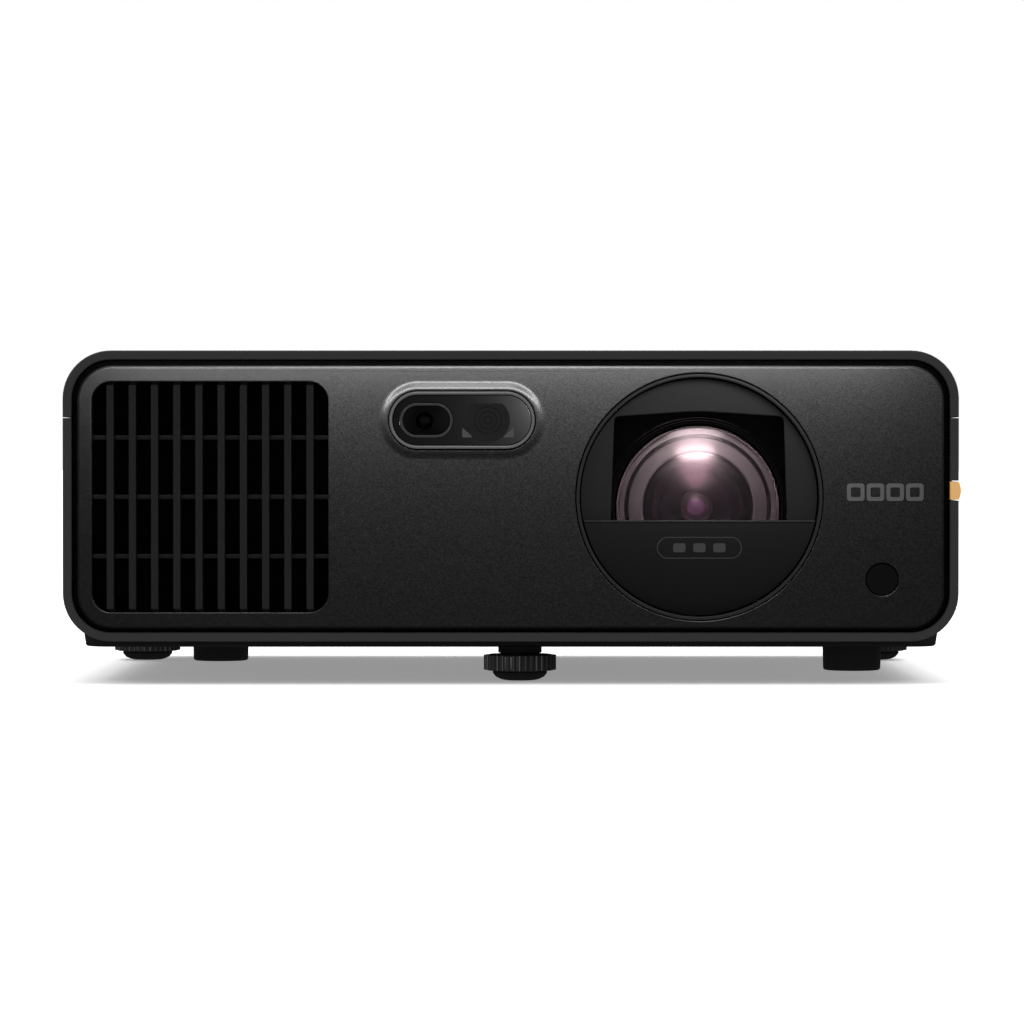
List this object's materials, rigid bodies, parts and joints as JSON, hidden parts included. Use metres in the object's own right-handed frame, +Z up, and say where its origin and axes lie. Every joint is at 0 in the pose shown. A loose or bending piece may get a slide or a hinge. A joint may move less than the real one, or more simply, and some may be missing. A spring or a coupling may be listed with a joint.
{
  "type": "home projector",
  "caption": "Wide, low black home projector with a louvred front intake, a sensor pill, a round lens surround, an amber side tab and screw feet.",
  "frame": {"origin": "On the floor under the feet, at the middle of the object in plan.", "axes": "+Z up; the front, with the lens, faces -Y; +X is to the right of someone looking at the front."},
  "size_m": [0.3358, 0.256, 0.1252],
  "materials": {
    "case_black_abs": "fine-textured satin moulding",
    "panel_black_paint": "satin paint with a fine sparkle",
    "satin_black_abs": "satin moulding",
    "smoked_polycarbonate": "polished, nearly black",
    "coated_glass": "polished, anti-reflection coated",
    "amber_abs": "satin moulding",
    "badge_grey": "satin print",
    "rubber": "matte",
    "filter_foam": "open-cell foam",
    "aluminium": "satin",
    "steel": "satin",
    "circuit_board": "solder resist",
    "white_nylon": "satin moulding",
    "fan_black": "satin moulding"
  },
  "bodies": {
    "chassis": {"bottom_case": "case_black_abs", "top_cover": "case_black_abs", "front_panel": "panel_black_paint", "front_grille": "case_black_abs", "air_filter": "filter_foam", "sensor_bezel": "satin_black_abs", "sensor_window": "smoked_polycarbonate", "camera_hood": "satin_black_abs", "camera_module": "smoked_polycarbonate", "range_sensor": "smoked_polycarbonate", "ir_window": "smoked_polycarbonate", "badge_plate": "badge_grey", "accent_tab": "amber_abs", "lens_ring": "satin_black_abs", "lens_shroud": "satin_black_abs", "lens_sill": "satin_black_abs", "lens_barrel": "satin_black_abs", "front_lens": "coated_glass", "lens_baffle": "satin_black_abs", "inner_lens": "coated_glass", "focus_motor": "steel", "optical_engine": "aluminium", "dmd_heatsink": "aluminium", "wheel_motor": "steel", "laser_bank": "aluminium", "laser_heatsink": "aluminium", "front_fan_frame": "fan_black", "side_fan_frame": "fan_black", "right_grille": "case_black_abs", "left_grille": "case_black_abs", "main_board": "circuit_board", "power_supply": "circuit_board", "speaker": "fan_black", "keypad_board": "circuit_board", "rear_panel": "case_black_abs", "hdmi_port_1": "steel", "hdmi_port_2": "steel", "usb_port": "steel", "serial_port": "steel", "audio_jack": "fan_black", "power_inlet": "fan_black"},
    "front_foot_sole_body": {"front_foot_sole": "rubber"},
    "front_foot_knob_body": {"front_foot_knob": "case_black_abs"},
    "rear_left_foot_sole_body": {"rear_left_foot_sole": "rubber"},
    "rear_left_foot_knob_body": {"rear_left_foot_knob": "case_black_abs"},
    "rear_right_foot_sole_body": {"rear_right_foot_sole": "rubber"},
    "rear_right_foot_knob_body": {"rear_right_foot_knob": "case_black_abs"},
    "focus_gear_body": {"focus_gear": "white_nylon"},
    "focus_pinion_body": {"focus_pinion": "white_nylon"},
    "focus_cell_body": {"focus_cell": "fan_black", "rear_lens": "coated_glass"},
    "front_fan_rotor_body": {"front_fan_rotor": "fan_black"},
    "side_fan_rotor_body": {"side_fan_rotor": "fan_black"},
    "phosphor_wheel_body": {"phosphor_wheel": "aluminium"},
    "power_button_body": {"power_button": "satin_black_abs"},
    "ok_button_body": {"ok_button": "satin_black_abs"},
    "up_button_body": {"up_button": "satin_black_abs"},
    "down_button_body": {"down_button": "satin_black_abs"},
    "left_button_body": {"left_button": "satin_black_abs"},
    "right_button_body": {"right_button": "satin_black_abs"}
  },
  "joints": [
    {"name": "front_foot_lift", "type": "slide", "parent": "chassis", "child": "front_foot_sole_body", "axis": [0, 0, -1], "range_m": [0, 0.012]},
    {"name": "front_foot_turn", "type": "hinge", "parent": "front_foot_sole_body", "child": "front_foot_knob_body", "pos_m": [0.0031, -0.0913, 0.0068], "axis": [0, 0, -1], "range_deg": [0, 2890]},
    {"name": "rear_left_foot_lift", "type": "slide", "parent": "chassis", "child": "rear_left_foot_sole_body", "axis": [0, 0, -1], "range_m": [0, 0.012]},
    {"name": "rear_left_foot_turn", "type": "hinge", "parent": "rear_left_foot_sole_body", "child": "rear_left_foot_knob_body", "pos_m": [-0.1531, 0.0867, 0.0068], "axis": [0, 0, -1], "range_deg": [0, 2890]},
    {"name": "rear_right_foot_lift", "type": "slide", "parent": "chassis", "child": "rear_right_foot_sole_body", "axis": [0, 0, -1], "range_m": [0, 0.012]},
    {"name": "rear_right_foot_turn", "type": "hinge", "parent": "rear_right_foot_sole_body", "child": "rear_right_foot_knob_body", "pos_m": [0.1523, 0.0867, 0.0068], "axis": [0, 0, -1], "range_deg": [0, 2890]},
    {"name": "focus_gear_turn", "type": "hinge", "parent": "chassis", "child": "focus_gear_body", "pos_m": [0.0701, -0.069, 0.066], "axis": [0, -1, 0], "range_deg": [-40, 40]},
    {"name": "focus_pinion_turn", "type": "hinge", "parent": "chassis", "child": "focus_pinion_body", "pos_m": [0.04464, -0.069, 0.09146], "axis": [0, -1, 0], "range_deg": [-201, 201]},
    {"name": "focus_cell_slide", "type": "slide", "parent": "chassis", "child": "focus_cell_body", "axis": [0, -1, 0], "range_m": [-0.0021, 0.0021]},
    {"name": "front_fan_spin", "type": "hinge", "parent": "chassis", "child": "front_fan_rotor_body", "pos_m": [-0.1128, -0.1, 0.068], "axis": [0, -1, 0], "continuous": true},
    {"name": "side_fan_spin", "type": "hinge", "parent": "chassis", "child": "side_fan_rotor_body", "pos_m": [0.1472, 0.03, 0.0625], "axis": [1, 0, 0], "continuous": true},
    {"name": "phosphor_wheel_spin", "type": "hinge", "parent": "chassis", "child": "phosphor_wheel_body", "pos_m": [-0.0149, 0.0036, 0.062], "axis": [0, -1, 0], "continuous": true},
    {"name": "power_button_press", "type": "slide", "parent": "chassis", "child": "power_button_body", "axis": [0, 0, -1], "range_m": [0, 0.0007], "stiffness_N_per_m": 600, "springref_m": -0.0006},
    {"name": "ok_button_press", "type": "slide", "parent": "chassis", "child": "ok_button_body", "axis": [0, 0, -1], "range_m": [0, 0.0007], "stiffness_N_per_m": 600, "springref_m": -0.0006},
    {"name": "up_button_press", "type": "slide", "parent": "chassis", "child": "up_button_body", "axis": [0, 0, -1], "range_m": [0, 0.0007], "stiffness_N_per_m": 600, "springref_m": -0.0006},
    {"name": "down_button_press", "type": "slide", "parent": "chassis", "child": "down_button_body", "axis": [0, 0, -1], "range_m": [0, 0.0007], "stiffness_N_per_m": 600, "springref_m": -0.0006},
    {"name": "left_button_press", "type": "slide", "parent": "chassis", "child": "left_button_body", "axis": [0, 0, -1], "range_m": [0, 0.0007], "stiffness_N_per_m": 600, "springref_m": -0.0006},
    {"name": "right_button_press", "type": "slide", "parent": "chassis", "child": "right_button_body", "axis": [0, 0, -1], "range_m": [0, 0.0007], "stiffness_N_per_m": 600, "springref_m": -0.0006}
  ],
  "couplings": [
    {"joint": "front_foot_turn", "follows": "front_foot_lift", "rad_per_m": 4188.8},
    {"joint": "rear_left_foot_turn", "follows": "rear_left_foot_lift", "rad_per_m": 4188.8},
    {"joint": "rear_right_foot_turn", "follows": "rear_right_foot_lift", "rad_per_m": 4188.8},
    {"joint": "focus_pinion_turn", "follows": "focus_gear_turn", "ratio": -5},
    {"joint": "focus_cell_slide", "follows": "focus_gear_turn", "m_per_rad": 0.00286}
  ]
}
